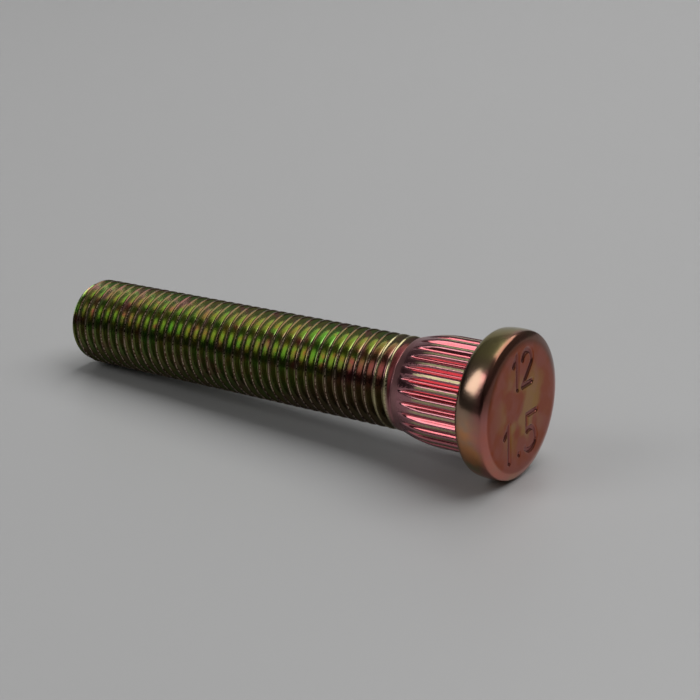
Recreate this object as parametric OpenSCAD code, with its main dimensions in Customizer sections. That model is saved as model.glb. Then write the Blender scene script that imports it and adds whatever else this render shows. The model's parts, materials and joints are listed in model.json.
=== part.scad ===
// Wheel stud: a round-headed steel stud with a knurled press-fit shoulder and a rolled
// M12 x 1.5 thread. It lies on its side, on the rim of its head and on the end of its thread.

/* [Head] */
// Diameter of the round head
head_d = 18.5; // [17:0.1:24]
// Thickness of the head
head_h = 4.4; // [3.5:0.1:7]
// Radius of the rounded rim on the seat side of the head
seat_rim_r = 1.3; // [0.4:0.1:1.5]
// Radius of the rounded rim around the outer face of the head
face_rim_r = 0.9; // [0.4:0.1:1.5]

/* [Knurl] */
// Diameter over the crests of the knurl
knurl_d = 14; // [13.4:0.1:15]
// Length of the knurl at full diameter, measured from the seat of the head
knurl_l = 5; // [3:0.5:12]
// Length of the curved lead-in between the full knurl and the shank
lead_l = 5.6; // [4:0.2:8]
// Number of knurl grooves
groove_n = 28; // [20:1:30]
// Depth of a knurl groove
groove_h = 0.55; // [0.3:0.05:0.6]
// Width of the flat floor of a knurl groove
groove_floor_w = 0.25; // [0.1:0.05:0.4]
// Share of the circle that the crests of the knurl take up
crest_share = 0.4; // [0.39:0.01:0.5]

/* [Thread] */
// Diameter over the crests of the thread
thread_d = 12; // [10:0.5:12]
// Distance from one crest of the thread to the next
thread_p = 1.5; // [1.25:0.25:1.75]
// Length from the seat of the head to the end of the thread
reach = 66; // [35:1:90]
// Length of the rounded point at the end of the thread
point_l = 1.9; // [1:0.1:3]
// Diameter of the flat end of the point
point_d = 10; // [8:0.1:10.4]
// Turns over which the thread groove rises out of the shank, next to the knurl
runout = 0.3; // [0.2:0.1:1]
// Flat facets in one turn of the thread groove
thread_facets = 24; // [16:2:30]

/* [Hidden] */
$fn = 96;

head_r = head_d / 2;
knurl_r = knurl_d / 2;
thread_r = thread_d / 2;
shank_l = knurl_l + lead_l;
// How far a cutting shape runs past the surface that it cuts
over = 0.1;

// Knurl groove: flanks that rise from the floor to the edges of two crests
groove_floor_r = knurl_r - groove_h;
groove_half_angle = 180 / groove_n * (1 - crest_share);
groove_edge_x = knurl_r * cos(groove_half_angle);
groove_edge_y = knurl_r * sin(groove_half_angle);
groove_slope = (groove_edge_y - groove_floor_w / 2) / (groove_edge_x - groove_floor_r);

// Metric thread: flanks at 30 degrees to the radius and crests an eighth of the pitch wide
flank = tan(30);
crest_w = thread_p / 8;
thread_h = 0.6134 * thread_p;
mouth_half_w = (thread_p - crest_w) / 2;
turns = (reach + thread_p - shank_l) / thread_p;
steps = floor(turns * thread_facets);
// Angles from the top of the lying stud: to the start of the thread's first turn, to the
// middle of a knurl groove and to the seam of the head
start_angle = 216;
knurl_angle = 2.3;
head_angle = 1.2;

// Lying pose: the axis tips down to the last crest that stands under it, by the angle at which
// that crest and the seat-side rim of the head touch the same level
crest_turns = (180 - start_angle) / 360 + 0.5;
last_turn = floor((reach - point_l - crest_w - shank_l) / thread_p - crest_turns);
touch_l = shank_l + (last_turn + crest_turns) * thread_p + crest_w / 2;
arm_l = touch_l + seat_rim_r;
arm_h = head_r - seat_rim_r - thread_r;
tip = atan2(arm_h, arm_l) + asin(seat_rim_r / norm([arm_l, arm_h]));
seat_z = thread_r * cos(tip) + touch_l * sin(tip);
x_max = (head_h - face_rim_r) * cos(tip) + (head_r - face_rim_r) * sin(tip) + face_rim_r;
x_min = -reach * cos(tip) - point_d / 2 * sin(tip);

// A solid of revolution that keeps radius r1 at z = 0 and curves in to r2 at z = l
module rounded_end(r1, r2, l) {
    drop = r1 - r2;
    curve_r = (l * l + drop * drop) / (2 * drop);
    rotate_extrude() {
        square([r2, l]);
        intersection() {
            square([r1, l]);
            translate([r1 - curve_r, 0]) circle(curve_r, $fn = 360);
        }
    }
}

// Head with its seat at z = 0 and its outer face below
module head() {
    rotate_extrude() {
        translate([0, -head_h]) square([head_r - face_rim_r, head_h / 2]);
        translate([0, -head_h / 2]) square([head_r - seat_rim_r, head_h / 2]);
        translate([0, face_rim_r - head_h]) square([head_r, head_h - face_rim_r - seat_rim_r]);
        translate([head_r - face_rim_r, face_rim_r - head_h]) circle(face_rim_r);
        translate([head_r - seat_rim_r, -seat_rim_r]) circle(seat_rim_r);
    }
}

// Turned shank: knurl cylinder, curved lead-in, thread cylinder and rounded point
module shank() {
    translate([0, 0, -head_h / 2]) cylinder(r = knurl_r, h = head_h / 2 + knurl_l);
    translate([0, 0, knurl_l]) rounded_end(knurl_r, thread_r, lead_l);
    translate([0, 0, knurl_l]) cylinder(r = thread_r, h = reach - point_l - knurl_l);
    translate([0, 0, reach - point_l]) rounded_end(thread_r, point_d / 2, point_l);
}

// One straight groove of the knurl, which runs out by itself where the lead-in drops below it
module knurl_groove() {
    past_r = knurl_r + over;
    past_w = groove_floor_w / 2 + groove_slope * (past_r - groove_floor_r);
    translate([0, 0, -head_h]) linear_extrude(head_h + shank_l) polygon([
        [groove_floor_r, -groove_floor_w / 2],
        [past_r, -past_w],
        [past_r, past_w],
        [groove_floor_r, groove_floor_w / 2]
    ]);
}

// Section of the thread groove as radius and place along the axis, lifted out by the run-out
function lift(turn) = max(0, 1 - turn / runout) * (thread_h + 2 * over);
function section(turn) = [
    for (side = [-1, 1], depth = side < 0 ? [thread_h, -over] : [-over, thread_h])
    [thread_r - depth + lift(turn), side * (mouth_half_w - depth * flank)]
];

// Right-hand helical groove, swept from the knurl to past the end of the point
module thread_groove() {
    points = [
        for (i = [0 : steps]) let (turn = i / thread_facets, a = start_angle + 360 * turn)
        for (p = section(turn)) [p[0] * cos(a), p[0] * sin(a), shank_l + thread_p * turn + p[1]]
    ];
    sides = [
        for (i = [0 : steps - 1], k = [0 : 3])
        let (a = 4 * i + k, b = 4 * i + (k + 1) % 4)
        each [[a, b, a + 4], [b, b + 4, a + 4]]
    ];
    first = [3, 2, 1, 0];
    last = [for (k = [0 : 3]) 4 * steps + k];
    polyhedron(points, concat([first], sides, [last]), convexity = 20);
}

// Stud with its axis along z, the seat of the head at z = 0 and the thread above
module upright_stud() {
    rotate(head_angle) head();
    difference() {
        shank();
        for (i = [0 : groove_n - 1]) rotate(knurl_angle + 360 / groove_n * i) knurl_groove();
        thread_groove();
    }
}

module stud() {
    color("darkkhaki")
    translate([-(x_max + x_min) / 2, 0, seat_z])
    rotate([0, -90 - tip, 0])
    upright_stud();
}

stud();
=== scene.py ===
"""Wheel stud in yellow zinc-chromate plated steel, lying on a pale table under two soft lights.

The stud is one skin: a threaded shank and a knurl made by Geometry Nodes, and a round head with
stamped numbers. The three are made upright, with the axis along Z, the seat of the head at Z = 0
and the thread above it, and are laid into the frame once they are welded. Lengths are in metres.
"""

import json
import math

import bmesh
import bpy
from mathutils import Matrix, Vector


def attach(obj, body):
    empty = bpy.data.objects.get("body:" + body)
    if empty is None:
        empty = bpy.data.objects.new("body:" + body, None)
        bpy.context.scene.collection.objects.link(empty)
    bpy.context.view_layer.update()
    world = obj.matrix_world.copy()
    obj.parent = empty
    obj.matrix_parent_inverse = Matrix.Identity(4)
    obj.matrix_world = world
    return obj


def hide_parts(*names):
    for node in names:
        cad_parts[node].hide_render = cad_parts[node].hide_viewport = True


bl_info = {
    "name": "Wheel Stud",
    "version": (1, 0, 0),
    "blender": (4, 5, 0),
    "location": "View3D > Sidebar > Stud",
    "description": "Builds a plated wheel stud with a knurl, a metric thread and a stamped head",
    "category": "Add Mesh",
}

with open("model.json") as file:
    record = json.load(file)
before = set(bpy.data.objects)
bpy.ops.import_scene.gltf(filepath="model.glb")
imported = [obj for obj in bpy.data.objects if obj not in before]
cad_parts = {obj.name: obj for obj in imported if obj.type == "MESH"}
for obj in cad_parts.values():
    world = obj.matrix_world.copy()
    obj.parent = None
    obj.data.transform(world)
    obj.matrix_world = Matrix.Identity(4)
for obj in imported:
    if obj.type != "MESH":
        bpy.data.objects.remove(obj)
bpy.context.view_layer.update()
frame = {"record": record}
RECORD = frame["record"]

MM = 0.001


def linear(code):
    """Linear RGBA of an sRGB hex code."""
    channels = [int(code[i : i + 2], 16) / 255 for i in (1, 3, 5)]
    return [c / 12.92 if c <= 0.04045 else ((c + 0.055) / 1.055) ** 2.4 for c in channels] + [1.0]


def hex_colour(name, description, code):
    """A colour property whose default is an sRGB hex code."""
    return bpy.props.FloatVectorProperty(
        name=name,
        description=description,
        default=linear(code)[:3],
        subtype="COLOR",
        size=3,
        min=0,
        max=1,
    )


def length(name, description, millimetres):
    """A length property whose default is given in millimetres."""
    return bpy.props.FloatProperty(
        name=name,
        description=description,
        default=millimetres * MM,
        unit="LENGTH",
        precision=5,
        min=0,
    )


class StudHeadSizes(bpy.types.PropertyGroup):
    diameter: length("Head diameter", "Diameter of the round head", 18.5)
    thickness: length("Head thickness", "From the seat to the outer face", 4.4)
    seat_rim: length("Seat rim radius", "Rounding between the side and the seat", 1.3)
    face_rim: length("Face rim radius", "Rounding between the side and the crown", 0.45)
    bulge: length("Side radius", "Radius of the slight bulge that heading leaves on the side", 8.5)
    crown: length("Crown radius", "Radius of the soft edge of the outer face", 3.2)
    stamp_depth: length("Stamp depth", "Depth of the stamped numbers", 0.24)
    stroke: length("Stroke width", "Width of a stamped stroke", 0.62)


class StudKnurlSizes(bpy.types.PropertyGroup):
    diameter: length("Knurl diameter", "Over the crests of the knurl", 14)
    full: length("Full knurl", "Length of the knurl at full diameter", 5)
    lead: length("Lead-in", "Length of the curved lead-in to the shank", 5.6)
    depth: length("Groove depth", "Depth of a knurl groove", 0.55)
    floor: length("Groove floor", "Width of a groove's floor", 0.25)
    count: bpy.props.IntProperty(
        name="Grooves",
        description="Number of knurl grooves",
        default=28,
        min=8,
    )
    crest_share: bpy.props.FloatProperty(
        name="Crest share",
        description="Share of the circle taken by the crests",
        default=0.4,
        min=0.1,
        max=0.9,
    )
    turned: bpy.props.FloatProperty(
        name="Turned by",
        description="Angle from the top of the lying stud to the middle of a groove",
        default=math.radians(2.3),
        subtype="ANGLE",
    )


class StudThreadSizes(bpy.types.PropertyGroup):
    diameter: length("Thread diameter", "Over the crests of the thread", 12)
    pitch: length("Pitch", "Distance from one crest to the next", 1.5)
    reach: length("Reach", "From the seat to the end of the thread", 66)
    point: length("Point length", "Length of the rounded point", 1.9)
    point_end: length("Point diameter", "Diameter of the flat end of the point", 10)
    start_angle: bpy.props.FloatProperty(
        name="Start angle",
        description="Angle from the top of the lying stud to where the groove starts",
        default=math.radians(216),
        subtype="ANGLE",
    )
    runout: bpy.props.FloatProperty(
        name="Run-out",
        description="Turns over which the groove rises out of the shank",
        default=0.3,
        min=0.05,
    )


class StudColours(bpy.types.PropertyGroup):
    olive: hex_colour("Olive", "Film over most of the thread", "#8C9656")
    green: hex_colour("Green", "Greenest patches of the film", "#769C54")
    gold: hex_colour("Gold", "Golden flecks of the film", "#A88E56")
    rose: hex_colour("Rose", "Rose patches of the film", "#A87276")
    # The shade colour is painted shade: it darkens the underside of the thread, which mirrors the
    # table in the stud's own shadow
    shade: hex_colour("Shade", "Thicker film on the underside of the thread", "#565C34")
    russet: hex_colour("Russet", "Thread next to the knurl", "#946269")
    wine: hex_colour("Wine", "Tops of the thread's crests", "#4C2E26")
    # The pale colour marks worn edges of the thread's crests and also paints highlight lines along
    # them, kept below the top of the thread
    pale: hex_colour("Pale", "Worn edges of the thread's crests", "#CDBBA4")
    straw: hex_colour("Straw", "Crests of the knurl and last crests of the thread", "#C2BC8C")
    mauve: hex_colour("Mauve", "Neck and lead-in of the knurl", "#A8747A")
    pink: hex_colour("Pink", "Grooves of the knurl and edge of the head", "#C26A70")
    bronze: hex_colour("Bronze", "Side of the head", "#A08470")
    khaki: hex_colour("Khaki", "Top and bottom of the head's side", "#988E5C")
    orange: hex_colour("Orange", "Warm patches of the head", "#C88450")
    # The umber colour is painted shade: a dark band on the upper edge of the outer face, which also
    # dims the highlight on its rim
    umber: hex_colour("Umber", "Upper edge of the outer face", "#5E4030")
    brick: hex_colour("Brick", "Outer face of the head", "#984A2E")
    moss: hex_colour("Moss", "Olive middle of the outer face", "#A88444")
    maroon: hex_colour("Maroon", "Floor of the stamped numbers", "#7C4040")
    table: hex_colour("Table", "Pale grey table", "#B0B0B0")
    behind: hex_colour("Background", "Plain grey that is seen behind the table", "#A6A6A6")


GROUPS = {
    "head": StudHeadSizes,
    "knurl": StudKnurlSizes,
    "thread": StudThreadSizes,
    "colours": StudColours,
}


def add(tree, kind, inputs=(), **settings):
    """Adds a node with its settings, and links or sets its inputs, by name or in their order."""
    node = tree.nodes.new(kind)
    for name, value in settings.items():
        setattr(node, name, value)
    for key, value in inputs.items() if isinstance(inputs, dict) else enumerate(inputs):
        if isinstance(key, str):
            socket = next(s for s in node.inputs if s.enabled and s.name == key)
        else:
            socket = node.inputs[key]
        if isinstance(value, bpy.types.Node):
            value = next(s for s in value.outputs if s.enabled)
        if isinstance(value, bpy.types.NodeSocket):
            tree.links.new(value, socket)
        else:
            socket.default_value = value
    return node


def work_out(tree, known, lines):
    """Adds the Math nodes that the lines say, each as a name, an operation and what goes in."""
    for name, operation, *terms in lines:
        terms = [known[t] if isinstance(t, str) else t for t in terms]
        known[name] = add(tree, "ShaderNodeMath", terms, operation=operation)
    return known


def start_tree(name, inputs):
    """A Geometry Nodes tree with float inputs, and its input node."""
    tree = bpy.data.node_groups.new(name, "GeometryNodeTree")
    tree.interface.new_socket("Geometry", in_out="OUTPUT", socket_type="NodeSocketGeometry")
    for label in inputs:
        tree.interface.new_socket(label, in_out="INPUT", socket_type="NodeSocketFloat")
    return tree, add(tree, "NodeGroupInput")


# Points of a rolled grid that are closer than this are one, as along the seam
MERGE_GAP = 0.004 * MM


def finish_tree(tree, grid, known):
    """Stores how deep in a groove and how far across a ridge each point of the grid will lie,
    rolls the grid up at its radius, and ends the tree."""
    known = work_out(tree, known, (
        ("cos", "COSINE", "angle"),
        ("sin", "SINE", "angle"),
        ("x", "MULTIPLY", "radius", "cos"),
        ("y", "MULTIPLY", "radius", "sin"),
        ("ridge turn", "MULTIPLY", "phase", math.tau),
        ("across", "SINE", "ridge turn"),
    ))
    # Every value is worked out from the flat grid's places, so they are stored before it is rolled
    for label in ("groove", "across"):
        grid = add(tree, "GeometryNodeStoreNamedAttribute",
                   {"Geometry": grid, "Name": label, "Value": known[label]},
                   data_type="FLOAT", domain="POINT")
    place = add(tree, "ShaderNodeCombineXYZ", (known["x"], known["y"], known["along"]))
    rolled = add(tree, "GeometryNodeSetPosition", {"Geometry": grid, "Position": place})
    closed = add(tree, "GeometryNodeMergeByDistance", {"Geometry": rolled, "Distance": MERGE_GAP})
    real = add(tree, "GeometryNodeRealizeInstances", (closed,))
    painted = add(tree, "GeometryNodeSetMaterial", {"Geometry": real, "Material": plating()})
    end = tree.nodes.new("NodeGroupOutput")
    tree.links.new(painted.outputs[0], end.inputs[0])


def unit_grid(tree, given, columns, rows):
    """A grid of the unit square, and what is known at each of its points: the tree's inputs and
    the two shares, of the way round and of the way along."""
    grid = add(tree, "GeometryNodeMeshGrid",
               {"Size X": 1.0, "Size Y": 1.0, "Vertices X": columns + 1, "Vertices Y": rows + 1})
    place = add(tree, "ShaderNodeSeparateXYZ", (add(tree, "GeometryNodeInputPosition"),))
    known = {socket.name: socket for socket in given.outputs if socket.name}
    known |= {"px": place.outputs[0], "py": place.outputs[1]}
    return grid, work_out(tree, known, (
        ("round", "ADD", "px", 0.5),
        ("share", "ADD", "py", 0.5),
        ("angle", "MULTIPLY", "round", math.tau),
    ))


def made_by(tree, name, values):
    """A plain mesh object made by a tree with these inputs, with the modifier gone again."""
    carrier = bpy.data.objects.new(name + "_nodes", bpy.data.meshes.new(name + "_nodes"))
    bpy.context.scene.collection.objects.link(carrier)
    modifier = carrier.modifiers.new("Build", "NODES")
    modifier.node_group = tree
    for item in tree.interface.items_tree:
        if item.in_out == "INPUT":
            modifier[item.identifier] = float(values[item.name])
    evaluated = carrier.evaluated_get(bpy.context.evaluated_depsgraph_get())
    mesh = bpy.data.meshes.new_from_object(evaluated)
    bpy.data.objects.remove(carrier)
    return new_object(name, mesh)


def new_object(name, mesh):
    """An object in the scene that shows a mesh."""
    mesh.name = name
    made = bpy.data.objects.new(name, mesh)
    bpy.context.scene.collection.objects.link(made)
    return made


def sizes(part):
    """The sizes of one part of the stud, or its colours, as the scene holds them."""
    return getattr(bpy.context.scene, "stud_" + part)


def film(name):
    """One of the stud's colours as linear RGBA."""
    return [*getattr(sizes("colours"), name), 1.0]


def shank_start():
    """Distance from the seat to where the lead-in ends and the thread starts."""
    return sizes("knurl").full + sizes("knurl").lead


def axis_frame():
    """Matrix that lays the upright stud, axis along Z and seat at Z = 0, into the frame."""
    mounts = {m["name"]: m for m in RECORD["mounts"]}
    axis = Vector(mounts["thread"]["axis"]).normalized()
    middle = Vector(mounts["thread"]["pos_m"])
    seat = middle + axis * (Vector(mounts["seat"]["pos_m"]) - middle).dot(axis)
    side = Vector((0, 1, 0))
    top = side.cross(axis).normalized()
    laid = Matrix((top, side, axis)).transposed().to_4x4()
    laid.translation = seat
    return laid


# Lattice of the thread: points round it, points along one pitch, and turns from end to end
THREAD_COLUMNS = 84
THREAD_STATIONS = 16
THREAD_TURNS = 39
# Metric thread: angle of its flanks to the radius, and its depth and its crests' width as
# shares of the pitch
FLANK_ANGLE = math.radians(30)
DEPTH_SHARE = 0.6134
CREST_WIDTH_SHARE = 1 / 8
# Lattice of the knurl: points round one groove, and rows. They are far apart on the straight
# part, where nothing changes along the axis, and the rest cover this many times the lead-in
KNURL_COLUMNS_EACH = 12
KNURL_ROWS = 50
STRAIGHT_STEP = 0.9 * MM
LEAD_COVER = 1.15


def blank_lines(start, arc):
    """Lines for work_out that give the radius of the blank, which keeps the crests' radius up to
    a start and curves in on an arc after it. Both are names of inputs."""
    return (
        ("past", "SUBTRACT", "along", start),
        ("over", "MAXIMUM", "past", 0.0),
        ("over squared", "MULTIPLY", "over", "over"),
        ("arc squared", "MULTIPLY", arc, arc),
        ("under", "SUBTRACT", "arc squared", "over squared"),
        ("rise", "SQRT", "under"),
        ("arc drop", "SUBTRACT", "rise", arc),
        ("blank radius", "ADD", "Crest radius", "arc drop"),
    )


def thread_tree():
    """Metric thread on a lattice whose rows follow the helix, cut off square at both ends."""
    tree, given = start_tree("Threaded shank", (
        "Crest radius", "Pitch", "First crest", "Start", "End", "Crest width", "Depth",
        "Run-out", "Point start", "Point arc"))
    grid, known = unit_grid(tree, given, THREAD_COLUMNS, THREAD_TURNS * THREAD_STATIONS)
    root_blend = 0.08 * MM
    crest_blend = 0.06 * MM
    lifted = 0.2 * MM
    # Keeps the middle of a crest, a hair under a whole turn, from counting as the turn before
    nudge = 0.0001
    known = work_out(tree, known, (
        ("turn", "MULTIPLY_ADD", "share", float(THREAD_TURNS), "round"),
        ("free", "MULTIPLY_ADD", "turn", "Pitch", "First crest"),
        ("late", "MAXIMUM", "free", "Start"),
        ("along", "MINIMUM", "late", "End"),
        ("from crest", "SUBTRACT", "along", "First crest"),
        ("in turns", "DIVIDE", "from crest", "Pitch"),
        ("helix", "SUBTRACT", "in turns", "round"),
        ("shifted", "ADD", "helix", nudge),
        ("phase", "FRACT", "shifted"),
        ("off middle", "SUBTRACT", "phase", 0.5),
        ("off", "ABSOLUTE", "off middle"),
        ("off length", "MULTIPLY", "off", "Pitch"),
        ("gap", "SUBTRACT", "Pitch", "Crest width"),
        ("half gap", "MULTIPLY", "gap", 0.5),
        ("inside", "SUBTRACT", "half gap", "off length"),
        ("flank", "MULTIPLY", "inside", 1 / math.tan(FLANK_ANGLE)),
        ("rooted", "SMOOTH_MIN", "flank", "Depth", root_blend),
        ("groove middle", "MULTIPLY", "off middle", "Pitch"),
        ("middle", "SUBTRACT", "along", "groove middle"),
        ("after start", "SUBTRACT", "middle", "Start"),
        ("groove turns", "DIVIDE", "after start", "Pitch"),
        ("run", "DIVIDE", "groove turns", "Run-out"),
        ("short", "SUBTRACT", 1.0, "run"),
        ("short of", "MAXIMUM", "short", 0.0),
        ("fade", "MINIMUM", "short of", 1.0),
        ("full lift", "ADD", "Depth", lifted),
        ("lift", "MULTIPLY", "fade", "full lift"),
        ("cut", "SUBTRACT", "rooted", "lift"),
        ("depth", "SMOOTH_MAX", "cut", 0.0, crest_blend),
        ("groove radius", "SUBTRACT", "Crest radius", "depth"),
        *blank_lines("Point start", "Point arc"),
        ("radius", "MINIMUM", "groove radius", "blank radius"),
        ("groove", "DIVIDE", "depth", "Depth"),
    ))
    finish_tree(tree, grid, known)
    return tree


def knurl_tree():
    """Straight grooves of one floor radius that run out on the curved lead-in."""
    tree, given = start_tree("Knurl", (
        "Crest radius", "Full", "End", "Lead arc", "Count", "Turned", "Depth",
        "Floor half width", "Rise"))
    columns = sizes("knurl").count * KNURL_COLUMNS_EACH
    grid, known = unit_grid(tree, given, columns, KNURL_ROWS)
    crest_blend = 0.12 * MM
    floor_blend = 0.1 * MM
    # The film of the grooves is full from this depth on
    film_depth = 0.22 * MM
    known = work_out(tree, known, (
        ("turned angle", "SUBTRACT", "angle", "Turned"),
        ("turns", "DIVIDE", "turned angle", math.tau),
        ("grooves", "MULTIPLY", "turns", "Count"),
        ("half over", "ADD", "grooves", 0.5),
        ("phase", "FRACT", "half over"),
        ("off middle", "SUBTRACT", "phase", 0.5),
        ("off", "ABSOLUTE", "off middle"),
        ("off round", "DIVIDE", "off", "Count"),
        ("off angle", "MULTIPLY", "off round", math.tau),
        ("off length", "MULTIPLY", "off angle", "Crest radius"),
        ("sparse", "MULTIPLY", "share", KNURL_ROWS * STRAIGHT_STEP),
        ("to go", "SUBTRACT", 1.0, "share"),
        ("lead", "SUBTRACT", "End", "Full"),
        ("covered", "MULTIPLY", "lead", LEAD_COVER),
        ("back", "MULTIPLY", "to go", "covered"),
        ("dense", "SUBTRACT", "End", "back"),
        ("along", "MINIMUM", "sparse", "dense"),
        *blank_lines("Full", "Lead arc"),
        ("off floor", "SUBTRACT", "off length", "Floor half width"),
        ("on flank", "SMOOTH_MAX", "off floor", 0.0, floor_blend),
        ("climb", "MULTIPLY", "on flank", "Rise"),
        ("floor radius", "SUBTRACT", "Crest radius", "Depth"),
        ("groove radius", "ADD", "floor radius", "climb"),
        ("radius", "SMOOTH_MIN", "groove radius", "blank radius", crest_blend),
        ("cut", "SUBTRACT", "blank radius", "radius"),
        ("cut share", "DIVIDE", "cut", film_depth),
        ("groove", "MINIMUM", "cut share", 1.0),
    ))
    finish_tree(tree, grid, known)
    return tree


def arc_radius(run, drop):
    """Radius of the arc that starts level and has dropped by this much after this run."""
    return (run * run + drop * drop) / (2 * drop)


class STUD_OT_threaded_shank(bpy.types.Operator):
    """Rolled metric thread with its run-out and its rounded point"""

    bl_idname = "stud.threaded_shank"
    bl_label = "Threaded Shank"

    def execute(self, context):
        thread = sizes("thread")
        radius = thread.diameter / 2
        start = shank_start()
        # The groove's middle is at the start at the start angle, and a crest half a pitch further
        crest_at_top = start + thread.pitch * (0.5 - thread.start_angle / math.tau)
        turns_back = math.ceil((crest_at_top - (start - thread.pitch)) / thread.pitch)
        drop = radius - thread.point_end / 2
        made_by(thread_tree(), "threaded_shank", {
            "Crest radius": radius,
            "Pitch": thread.pitch,
            "First crest": crest_at_top - turns_back * thread.pitch,
            "Start": start,
            "End": thread.reach,
            "Crest width": CREST_WIDTH_SHARE * thread.pitch,
            "Depth": DEPTH_SHARE * thread.pitch,
            "Run-out": thread.runout,
            "Point start": thread.reach - thread.point,
            "Point arc": arc_radius(thread.point, drop),
        })
        return {"FINISHED"}


class STUD_OT_knurl(bpy.types.Operator):
    """Press-fit shoulder with straight knurl grooves and a curved lead-in"""

    bl_idname = "stud.knurl"
    bl_label = "Knurl"

    def execute(self, context):
        knurl = sizes("knurl")
        crest = knurl.diameter / 2
        shank = sizes("thread").diameter / 2
        half_angle = math.pi / knurl.count * (1 - knurl.crest_share)
        edge_x = crest * math.cos(half_angle)
        edge_y = crest * math.sin(half_angle)
        made_by(knurl_tree(), "knurl", {
            "Crest radius": crest,
            "Full": knurl.full,
            "End": shank_start() - WELD_GAP,
            "Lead arc": arc_radius(knurl.lead, crest - shank),
            "Count": knurl.count,
            "Turned": knurl.turned,
            "Depth": knurl.depth,
            "Floor half width": knurl.floor / 2,
            "Rise": (edge_x - (crest - knurl.depth)) / (edge_y - knurl.floor / 2),
        })
        return {"FINISHED"}


# Gap along the axis that the weld closes between the knurl and the thread
WELD_GAP = 0.1 * MM
# Distance between two rings of the flat outer face, and radius that they leave in its middle
FACE_STEP = 0.15 * MM
FACE_CORE = 0.4 * MM
# Rings on the flat seat and on each arc of the head's outline
SEAT_STEPS = 3
RIM_STEPS = 9
BULGE_STEPS = 8
CROWN_STEPS = 7
# Slope of the outline where the face rim runs into the crown
CROWN_TURN = math.radians(62)
# How far outside its stroke a stamped wall starts, and how wide the wall is
WALL_START = 0.1 * MM
WALL_WIDTH = 0.24 * MM
# Share of the radius that the inner ring of the thread's flat end keeps
END_INSET = 0.97
# How far off its place along the axis a vertex may be to count as one of a ring
RING_TOLERANCE = 0.002 * MM


def digit_one(height):
    """Strokes of a plain 1 of this height, as lists of points with the baseline at 0."""
    return [[(0, 0), (0, height)], [(0, height), (-0.22 * height, 0.74 * height)]]


def digit_two(height):
    """Strokes of a plain 2: a hook, a slanted neck and a foot."""
    r = 0.27 * height
    hook = [(r * math.cos(t), height - r + r * math.sin(t)) for t in arc_steps(165, -38)]
    return [hook + [(-r, 0), (r, 0)]]


def digit_five(height):
    """Strokes of a plain 5: a flag, a stem and a bowl."""
    r = 0.3 * height
    bowl = [(r * math.cos(t) - 0.08 * height, r + r * math.sin(t)) for t in arc_steps(122, -140)]
    return [[(0.24 * height, height), (-0.24 * height, height), bowl[0]], bowl]


def arc_steps(first, last, count=14):
    """Angles in radians from the first to the last, given in degrees."""
    return [math.radians(first + (last - first) * i / count) for i in range(count + 1)]


def stamped_strokes():
    """Every stamped stroke on the face, as points to the right and up from its middle."""
    upper, lower = 4.2 * MM, 4.7 * MM
    # Strokes, and how far right and up of the middle their baseline stands
    placed = (
        (digit_one(upper), -1.15 * MM, 2.6 * MM),
        (digit_two(upper), 1.15 * MM, 2.6 * MM),
        (digit_one(lower), -3.2 * MM, -6.1 * MM),
        ([[(0, 0.3 * MM), (0, 0.35 * MM)]], -0.9 * MM, -6.1 * MM),
        (digit_five(lower), 2.2 * MM, -6.1 * MM),
    )
    return [
        [(x + right, y + up) for x, y in stroke]
        for strokes, right, up in placed
        for stroke in strokes
    ]


def distance_to(point, stroke):
    """Distance from a point to a stroke's line."""
    best = math.inf
    for (ax, ay), (bx, by) in zip(stroke, stroke[1:]):
        dx, dy = bx - ax, by - ay
        px, py = point[0] - ax, point[1] - ay
        share = max(0.0, min(1.0, (px * dx + py * dy) / (dx * dx + dy * dy)))
        best = min(best, math.hypot(px - share * dx, py - share * dy))
    return best


def stamp_share(point, strokes, width):
    """How deep a point of the face is stamped, from 0 on the face to 1 on a stroke's floor."""
    reach = min(distance_to(point, stroke) for stroke in strokes)
    share = max(0.0, min(1.0, (width / 2 + WALL_START - reach) / WALL_WIDTH))
    return share * share * (3 - 2 * share)


def head_profile():
    """Radius and place along the axis of each ring, from the seat round to the outer face."""
    head = sizes("head")
    knurl = sizes("knurl").diameter / 2
    # Seat rim, bulge, face rim and crown run into each other: two arcs that meet share a slope
    crown_rise = (head.crown - head.face_rim) * (1 - math.sin(CROWN_TURN))
    middle = (head.seat_rim + head.thickness - head.face_rim - crown_rise) / 2
    rim_rise = head.thickness - middle - head.face_rim - crown_rise
    seat_turn = math.asin((middle - head.seat_rim) / (head.bulge - head.seat_rim))
    rim_turn = math.asin(rim_rise / (head.bulge - head.face_rim))
    arcs = (
        (head.seat_rim, -math.pi / 2, -seat_turn, RIM_STEPS),
        (head.bulge, -seat_turn, rim_turn, BULGE_STEPS),
        (head.face_rim, rim_turn, CROWN_TURN, RIM_STEPS),
        (head.crown, CROWN_TURN, math.pi / 2, CROWN_STEPS),
    )
    seat_edge = (head.diameter / 2 - head.bulge * (1 - math.cos(seat_turn))
                 - head.seat_rim * math.cos(seat_turn))
    seat_width = seat_edge - knurl
    rings = [(knurl + seat_width * i / SEAT_STEPS, 0.0) for i in range(1, SEAT_STEPS + 1)]
    for bend, first, last, steps in arcs:
        radius, along = rings[-1]
        for i in range(1, steps + 1):
            turn = first + (last - first) * i / steps
            rings.append((radius + bend * (math.cos(turn) - math.cos(first)),
                          along - bend * (math.sin(turn) - math.sin(first))))
    edge = rings[-1][0]
    inward = math.floor((edge - FACE_CORE) / FACE_STEP)
    return rings[:-1] + [(edge - FACE_STEP * i, -head.thickness) for i in range(inward + 1)]


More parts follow.
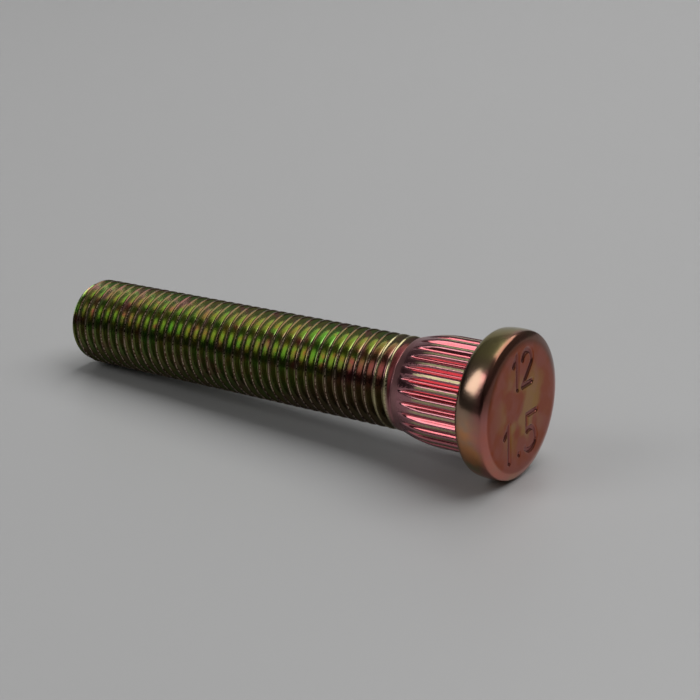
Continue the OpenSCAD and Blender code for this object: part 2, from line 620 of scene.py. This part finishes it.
class STUD_OT_head(bpy.types.Operator):
    """Round head with rounded rims and stamped numbers on its outer face"""

    bl_idname = "stud.head"
    bl_label = "Head"

    def execute(self, context):
        head = sizes("head")
        columns = sizes("knurl").count * KNURL_COLUMNS_EACH
        strokes = stamped_strokes()
        reach = max(math.hypot(*point) for stroke in strokes for point in stroke) + head.stroke
        work = bmesh.new()
        layer = work.verts.layers.float.new("stamp")
        rings = []
        for radius, along in head_profile():
            on_face = along < -head.thickness / 2 and radius < reach
            ring = []
            for i in range(columns):
                angle = math.tau * i / columns
                x, y = radius * math.cos(angle), radius * math.sin(angle)
                share = stamp_share((y, x), strokes, head.stroke) if on_face else 0.0
                vertex = work.verts.new((x, y, along + share * head.stamp_depth))
                vertex[layer] = share
                ring.append(vertex)
            rings.append(ring)
        for inner, outer in zip(rings, rings[1:]):
            for i in range(columns):
                j = (i + 1) % columns
                work.faces.new((inner[i], inner[j], outer[j], outer[i]))
        middle = work.verts.new((0, 0, -head.thickness))
        for i in range(columns):
            work.faces.new((rings[-1][i], rings[-1][(i + 1) % columns], middle))
        mesh = bpy.data.meshes.new("head")
        work.to_mesh(mesh)
        work.free()
        new_object("head", mesh)
        return {"FINISHED"}


def ring_at(work, along, count, outer=False):
    """Open-edge vertices at one place along the axis, in order round it."""
    found = {}
    for vertex in work.verts:
        if vertex.is_boundary and abs(vertex.co.z - along) < RING_TOLERANCE:
            place = round(math.atan2(vertex.co.y, vertex.co.x) / math.tau * count) % count
            other = found.get(place)
            if not other or (vertex.co.xy.length > other.co.xy.length) == outer:
                found[place] = vertex
    if len(found) != count:
        raise RuntimeError(f"the ring at {along * 1000:.2f} mm has {len(found)} of {count} vertices")
    return [found[i] for i in range(count)]


def close_shank(work, columns):
    """Faces between the thread's ring and the finer one of the knurl's lead-in."""
    coarse = ring_at(work, shank_start(), THREAD_COLUMNS)
    fine = ring_at(work, shank_start() - WELD_GAP, columns)
    each = columns // THREAD_COLUMNS
    for i, vertex in enumerate(coarse):
        following = coarse[(i + 1) % THREAD_COLUMNS]
        half = each * i + each // 2
        work.faces.new((vertex, following, fine[half % columns]))
        for j in range(each * i, each * (i + 1)):
            corner = vertex if j < half else following
            work.faces.new((corner, fine[(j + 1) % columns], fine[j]))


def close_seat(work, columns):
    """Faces between the grooved end of the knurl and the seat of the head."""
    knurl = ring_at(work, 0.0, columns)
    seat = ring_at(work, 0.0, columns, outer=True)
    for i in range(columns):
        j = (i + 1) % columns
        work.faces.new((knurl[i], knurl[j], seat[j], seat[i]))


def close_point(work, reach):
    """Flat end of the thread, with a narrow edge ring so that its corner stays crisp."""
    edge = ring_at(work, reach, THREAD_COLUMNS)
    inner = [work.verts.new((v.co.x * END_INSET, v.co.y * END_INSET, reach)) for v in edge]
    middle = work.verts.new((0, 0, reach))
    for i, vertex in enumerate(edge):
        j = (i + 1) % THREAD_COLUMNS
        work.faces.new((vertex, edge[j], inner[j], inner[i]))
        work.faces.new((inner[i], inner[j], middle))


class STUD_OT_weld(bpy.types.Operator):
    """Joins thread, knurl and head into one closed skin, and lays it into the frame"""

    bl_idname = "stud.weld"
    bl_label = "Weld"

    def execute(self, context):
        parts = [bpy.data.objects[name] for name in ("threaded_shank", "knurl", "head")]
        stud = parts[0]
        with context.temp_override(active_object=stud, object=stud, selected_editable_objects=parts,
                                   selected_objects=parts):
            bpy.ops.object.join()
        columns = sizes("knurl").count * KNURL_COLUMNS_EACH
        work = bmesh.new()
        work.from_mesh(stud.data)
        close_shank(work, columns)
        close_seat(work, columns)
        close_point(work, sizes("thread").reach)
        bmesh.ops.recalc_face_normals(work, faces=work.faces)
        if any(len(edge.link_faces) != 2 for edge in work.edges):
            raise RuntimeError("the skin of the stud isn't closed")
        for face in work.faces:
            face.smooth = True
            face.material_index = 0
        work.to_mesh(stud.data)
        work.free()
        stud.data.materials.clear()
        stud.data.materials.append(plating())
        stud.data.transform(axis_frame())
        stud.name = stud.data.name = "plated_stud"
        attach(stud, "root")
        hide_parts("stud")
        return {"FINISHED"}


# Layers of the plating's colour: a mask's name, how much of it shows and its colour. Most give the
# film's own colour; the thread's underside and the upper edge of the outer face get painted shade,
# and the edges of the thread's crests painted highlight lines as well as wear
FILM_LAYERS = (
    ("green patch", 0.9, "green"),
    ("gold fleck", 0.6, "gold"),
    ("rose patch", 0.75, "rose"),
    ("near knurl", 0.8, "russet"),
    # Painted shade on the underside of the thread
    ("shaded underside", 0.7, "shade"),
    ("near crest", 0.85, "wine"),
    # Worn edges of the crests, partly painted highlight lines
    ("crest edge wear and glint", 0.8, "pale"),
    ("last crest", 0.5, "straw"),
    ("neck", 0.9, "mauve"),
    ("on knurl", 1.0, "mauve"),
    ("knurl crest", 0.9, "straw"),
    ("knurl groove", 1.0, "pink"),
    ("on head", 1.0, "bronze"),
    ("head olive", 0.9, "khaki"),
    ("head warm", 0.8, "orange"),
    ("head rose", 0.6, "pink"),
    ("on face", 1.0, "brick"),
    ("face olive", 0.8, "moss"),
    ("face rose", 0.2, "rose"),
    # Painted shade on the upper edge of the outer face
    ("face shade", 0.75, "umber"),
    ("stamped", 0.8, "maroon"),
)


# Noises of the film: the size of their cells in millimetres, and their detail
FILM_NOISES = (("patch", 4.0, 2.0), ("mottle", 1.3, 3.0), ("spots", 2.6, 2.0), ("grain", 0.3, 4.0))
# Roughness of the film where it is smoothest and dullest, and what a matt place adds to it
SMOOTHEST = 0.13
DULLEST = 0.25
MATT_EXTRA = 0.22


def cleared_tree(owner):
    """The node tree of a new material or world, with nothing in it."""
    owner.use_nodes = True
    owner.node_tree.nodes.clear()
    return owner.node_tree


def film_places(tree):
    """Where a point lies on the upright stud, in millimetres and shares, and the film's noises."""
    upright = axis_frame().inverted()
    here = add(tree, "ShaderNodeMapping", {
        "Vector": add(tree, "ShaderNodeTexCoord").outputs["Object"],
        "Location": upright.translation,
        "Rotation": upright.to_euler("XYZ"),
    })
    split = add(tree, "ShaderNodeSeparateXYZ", (here,))
    known = {"up": split.outputs[0], "side": split.outputs[1], "z": split.outputs[2]}
    for label in ("groove", "across", "stamp"):
        known[label] = add(tree, "ShaderNodeAttribute", attribute_name=label).outputs["Fac"]
    for label, cell, detail in FILM_NOISES:
        known[label] = add(tree, "ShaderNodeTexNoise",
                           {"Vector": here, "Scale": 1 / (cell * MM), "Detail": detail}).outputs[0]
    return work_out(tree, known, (
        ("along", "MULTIPLY", "z", 1 / MM),
        ("up squared", "MULTIPLY", "up", "up"),
        ("off squared", "MULTIPLY_ADD", "side", "side", "up squared"),
        ("radius", "SQRT", "off squared"),
        ("radius mm", "MULTIPLY", "radius", 1 / MM),
        ("ragged", "MULTIPLY_ADD", "mottle", 3.0, "along"),
        ("height", "DIVIDE", "up", "radius"),
        ("slanted", "MULTIPLY_ADD", "height", 9.0, "along"),
        ("head mix", "MULTIPLY_ADD", "patch", 4.0, "along"),
        ("from ridge", "ABSOLUTE", "across"),
        ("off ridge", "MULTIPLY_ADD", "grain", 1.2, "from ridge"),
        ("over middle", "SUBTRACT", "height", 0.15),
        ("off middle", "ABSOLUTE", "over middle"),
    ))


def film_masks(tree, known):
    """What share of each layer of the film shows, from 0 to 1: smooth steps from one value of a
    place or a noise to another, and products of such steps."""
    start = shank_start() / MM
    end = sizes("thread").reach / MM
    face = -sizes("head").thickness / MM
    for label, source, low, high in (
        # On the thread
        ("green patch", "patch", 0.4, 0.64),
        ("gold fleck", "mottle", 0.46, 0.66),
        ("rose patch", "spots", 0.52, 0.7),
        ("near knurl", "slanted", start + 14.5, start + 9),
        # Painted shade, stronger towards the underside of the thread
        ("shaded underside", "height", 0.35, -0.05),
        ("shallow", "groove", 0.24, 0.12),
        ("before end", "along", end - 0.02, end - 0.12),
        ("at edge", "groove", 0.15, 0.04),
        ("past edge", "across", -0.24, -0.38),
        # Keeps the painted highlight lines on the edges of the crests off the top of the thread
        ("below top", "height", 0.85, 0.65),
        ("worn", "grain", 0.4, 0.58),
        ("before last", "along", start + 4, start + 2.5),
        # On the knurl and its neck
        ("neck", "along", start + 0.9, start + 0.3),
        ("on knurl", "along", start - 0.6, start - 1.6),
        ("before crests", "ragged", 9.4, 7.8),
        ("ridge line", "off ridge", 1.3, 0.85),
        ("in groove", "groove", 0.25, 0.75),
        # On the side of the head and on its outer face
        ("on head", "along", 0.05, -0.05),
        ("head end", "off middle", 0.5, 0.75),
        # Edge, side and upper part of the outer face, where its painted shade lies
        ("face edge", "radius mm", 7.2, 8.3),
        ("face side", "along", face + 1.1, face + 0.5),
        ("upper side", "height", 0.05, 0.45),
        ("low side", "height", 0.2, -0.05),
        ("warm spot", "spots", 0.34, 0.66),
        ("toward face", "head mix", -0.6, -2.2),
        ("on face", "along", face + 0.12, face + 0.04),
        ("face middle", "radius mm", 7.5, 2.0),
        ("face patch", "patch", 0.42, 0.58),
        ("face spot", "spots", 0.42, 0.6),
        ("stamped", "stamp", 0.15, 0.9),
    ):
        known[label] = add(tree, "ShaderNodeMapRange",
                           {"Value": known[source], "From Min": low, "From Max": high},
                           interpolation_type="SMOOTHSTEP")
    return work_out(tree, known, (
        ("near crest", "MULTIPLY", "shallow", "before end"),
        ("crest rim", "MULTIPLY", "at edge", "past edge"),
        # Edges of the crests: wear, and painted highlight lines below the top
        ("lower rim", "MULTIPLY", "crest rim", "below top"),
        ("crest edge wear and glint", "MULTIPLY", "lower rim", "worn"),
        ("last crest", "MULTIPLY", "near crest", "before last"),
        ("out of groove", "SUBTRACT", 1.0, "in groove"),
        ("crest", "MULTIPLY", "before crests", "out of groove"),
        ("crest line", "MULTIPLY", "crest", "ridge line"),
        ("off head", "SUBTRACT", 1.0, "on head"),
        ("knurled", "MULTIPLY", "on knurl", "off head"),
        ("knurl crest", "MULTIPLY", "crest line", "knurled"),
        ("knurl groove", "MULTIPLY", "in groove", "knurled"),
        ("head olive", "MULTIPLY", "on head", "head end"),
        ("low warm", "MULTIPLY", "low side", "warm spot"),
        ("head warm", "MULTIPLY", "on head", "low warm"),
        ("head rose", "MULTIPLY", "on head", "toward face"),
        ("olive part", "MULTIPLY", "face middle", "face patch"),
        ("face olive", "MULTIPLY", "on face", "olive part"),
        ("face rose", "MULTIPLY", "on face", "face spot"),
        # Painted shade on the upper edge of the outer face
        ("edge part", "MULTIPLY", "face edge", "upper side"),
        ("face shade", "MULTIPLY", "edge part", "face side"),
    ))


def plating():
    """Yellow zinc-chromate plating on rolled steel: a bright metal under a film so thin that
    its colour runs from olive and green to rose with the film's thickness. Painted shade darkens
    the thread's underside and the upper edge of the outer face, and painted highlight lines run
    along the worn edges of the thread's crests."""
    name = "yellow zinc-chromate plating"
    material = bpy.data.materials.get(name)
    if material:
        return material
    material = bpy.data.materials.new(name)
    tree = cleared_tree(material)
    known = film_masks(tree, film_places(tree))
    colour = add(tree, "ShaderNodeRGB")
    colour.outputs[0].default_value = film("olive")
    for mask, strength, tint in FILM_LAYERS:
        amount = add(tree, "ShaderNodeMath", (known[mask], strength), operation="MULTIPLY")
        colour = add(tree, "ShaderNodeMix", {"Factor": amount, "A": colour, "B": film(tint)},
                     data_type="RGBA")
    # The film is glossy, and matt on the worn crests and on the neck, which no die has burnished
    known["gloss"] = add(tree, "ShaderNodeMapRange",
                         {"Value": known["mottle"], "To Min": SMOOTHEST, "To Max": DULLEST})
    work_out(tree, known, (
        ("worn crest", "MAXIMUM", "knurl crest", "crest edge wear and glint"),
        ("bare neck", "SUBTRACT", "neck", "on knurl"),
        ("matt", "MAXIMUM", "worn crest", "bare neck"),
        ("roughness", "MULTIPLY_ADD", "matt", MATT_EXTRA, "gloss"),
    ))
    # Fine pits of the steel under the film, which break its highlights up a little
    bump = add(tree, "ShaderNodeBump",
               {"Strength": 0.25, "Distance": 0.02 * MM, "Height": known["grain"]})
    shader = add(tree, "ShaderNodeBsdfPrincipled", {
        "Base Color": colour,
        "Metallic": 1.0,
        "Roughness": known["roughness"],
        "Normal": bump,
    })
    add(tree, "ShaderNodeOutputMaterial", {"Surface": shader})
    return material


def table_top():
    """Satin laminate, pale grey and plain, which keeps the stud's soft shadow and a trace of
    its reflection."""
    material = bpy.data.materials.new("satin grey laminate")
    tree = cleared_tree(material)
    shader = add(tree, "ShaderNodeBsdfPrincipled", {"Base Color": film("table"), "Roughness": 0.42})
    add(tree, "ShaderNodeOutputMaterial", {"Surface": shader})
    return material


def white_card():
    """Matt white foam board, which the top of the plating mirrors as a pale glow. Seen straight
    on, it is as grey as the rest of the background."""
    material = bpy.data.materials.new("white foam board")
    tree = cleared_tree(material)
    board = add(tree, "ShaderNodeBsdfPrincipled", {"Base Color": linear("#F0F0F0"), "Roughness": 0.9})
    plain = add(tree, "ShaderNodeEmission", {"Color": film("behind"), "Strength": 1.0})
    seen = add(tree, "ShaderNodeLightPath").outputs["Is Camera Ray"]
    shader = add(tree, "ShaderNodeMixShader", (seen, board, plain))
    add(tree, "ShaderNodeOutputMaterial", {"Surface": shader})
    return material


def dim_room():
    """Dark walls under a paler ceiling, which the sides of the head mirror softly."""
    world = bpy.data.worlds.new("dim room")
    tree = cleared_tree(world)
    # The room is darkest low in front, and palest over the far side, from this height on
    palest = (0.2, 0.4, 0.9)
    full_height = 0.9
    look = add(tree, "ShaderNodeTexCoord").outputs["Generated"]
    toward = add(tree, "ShaderNodeVectorMath", (look, palest), operation="DOT_PRODUCT")
    ceiling = add(tree, "ShaderNodeMapRange",
                  {"Value": toward.outputs["Value"], "From Min": 0.0, "From Max": full_height},
                  interpolation_type="SMOOTHSTEP")
    room = add(tree, "ShaderNodeMix",
               {"Factor": ceiling, "A": linear("#282828"), "B": linear("#727272")}, data_type="RGBA")
    seen = add(tree, "ShaderNodeLightPath").outputs["Is Camera Ray"]
    shown = add(tree, "ShaderNodeMix",
                {"Factor": seen, "A": room, "B": film("behind")}, data_type="RGBA")
    background = add(tree, "ShaderNodeBackground", {"Color": shown, "Strength": 1.0})
    add(tree, "ShaderNodeOutputWorld", {"Surface": background})
    return world


# Softboxes: where each stands, by azimuth and elevation in degrees and distance, how far it is
# shifted along the stud's head side, its width and height, and its power in watts
SOFTBOXES = {
    "overhead_softbox": (180, 67, 1500 * MM, 360 * MM, 1700 * MM, 1450 * MM, 21.5),
    "front_softbox": (-38, 38, 1500 * MM, 0, 600 * MM, 800 * MM, 4.2),
}
# Side of the square table, which has the stud in its middle
TABLE_SIDE = 3200 * MM
# Backdrop: its azimuth, its distance, and the width and height of the card
BACKDROP = (-145, 1500 * MM, 1900 * MM, 1050 * MM)
# Camera: what it looks at, its azimuth and elevation in degrees, its distance, the focal length
# and the width of its sensor in millimetres, and the nearest distance that it sees
CAMERA_TARGET = Vector((9.088, 1.062, 10.556)) * MM
CAMERA_AZIMUTH = 35.52
CAMERA_ELEVATION = 20.88
CAMERA_DISTANCE = 191.01 * MM
CAMERA_LENS = 76.29
CAMERA_SENSOR = 36
CAMERA_NEAR = 10 * MM


def towards(azimuth, elevation):
    """Unit vector to where a light or the camera stands; azimuth 0 is in front, at -Y."""
    a, e = math.radians(azimuth), math.radians(elevation)
    return Vector((math.sin(a) * math.cos(e), -math.cos(a) * math.cos(e), math.sin(e)))


def aim(made, target):
    """Turns a lamp or camera to look at a point, with its top up."""
    made.rotation_euler = (target - made.location).to_track_quat("-Z", "Y").to_euler()


def set_up_table():
    """Table top under the stud, and a card that stands on it across from the camera."""
    half = TABLE_SIDE / 2
    top = [(-half, -half, 0), (half, -half, 0), (half, half, 0), (-half, half, 0)]
    azimuth, distance, width, height = BACKDROP
    middle = towards(azimuth, 0) * distance
    along = towards(azimuth + 90, 0) * width / 2
    card = [middle - along, middle + along]
    card += [corner + Vector((0, 0, height)) for corner in reversed(card)]
    for name, corners, material in (("table", top, table_top()), ("backdrop", card, white_card())):
        mesh = bpy.data.meshes.new(name)
        mesh.from_pydata(corners, [], [(0, 1, 2, 3)])
        mesh.materials.append(material)
        new_object(name, mesh)


def set_up_softboxes(scene):
    """Soft lights, each turned to the point that it lights."""
    for name, (azimuth, elevation, distance, shift, width, height, power) in SOFTBOXES.items():
        lamp = bpy.data.lights.new(name, "AREA")
        lamp.shape = "RECTANGLE"
        lamp.size = width
        lamp.size_y = height
        lamp.energy = power
        made = bpy.data.objects.new(name, lamp)
        target = Vector((shift, 0, 0))
        made.location = target + towards(azimuth, elevation) * distance
        aim(made, target)
        scene.collection.objects.link(made)


def set_up_camera(scene):
    """Camera that sees the stud as the photograph does."""
    camera = bpy.data.cameras.new("camera")
    camera.lens = CAMERA_LENS
    camera.sensor_width = CAMERA_SENSOR
    camera.clip_start = CAMERA_NEAR
    seen = bpy.data.objects.new("camera", camera)
    seen.location = CAMERA_TARGET + towards(CAMERA_AZIMUTH, CAMERA_ELEVATION) * CAMERA_DISTANCE
    aim(seen, CAMERA_TARGET)
    scene.collection.objects.link(seen)
    scene.camera = seen


class STUD_OT_stage(bpy.types.Operator):
    """Pale table, soft lights and camera"""

    bl_idname = "stud.stage"
    bl_label = "Stage"

    def execute(self, context):
        set_up_table()
        set_up_softboxes(context.scene)
        context.scene.world = dim_room()
        set_up_camera(context.scene)
        context.scene.view_settings.view_transform = "Standard"
        return {"FINISHED"}


class STUD_PT_panel(bpy.types.Panel):
    """Sizes of the stud and the steps that build it"""

    bl_idname = "STUD_PT_panel"
    bl_label = "Wheel Stud"
    bl_space_type = "VIEW_3D"
    bl_region_type = "UI"
    bl_category = "Stud"

    def draw(self, context):
        for part, group in GROUPS.items():
            box = self.layout.box()
            box.label(text=part.title())
            for name in group.__annotations__:
                box.prop(sizes(part), name)
        for step in STEPS:
            self.layout.operator(step.bl_idname)


STEPS = (STUD_OT_threaded_shank, STUD_OT_knurl, STUD_OT_head, STUD_OT_weld, STUD_OT_stage)
CLASSES = (*GROUPS.values(), *STEPS, STUD_PT_panel)


def register():
    for made in CLASSES:
        bpy.utils.register_class(made)
    for part, group in GROUPS.items():
        setattr(bpy.types.Scene, "stud_" + part, bpy.props.PointerProperty(type=group))


def unregister():
    for part in GROUPS:
        delattr(bpy.types.Scene, "stud_" + part)
    for made in reversed(CLASSES):
        bpy.utils.unregister_class(made)


def main():
    """Builds the stud and its stage."""
    register()
    bpy.ops.stud.threaded_shank()
    bpy.ops.stud.knurl()
    bpy.ops.stud.head()
    bpy.ops.stud.weld()
    bpy.ops.stud.stage()


if __name__ == "__main__":
    main()
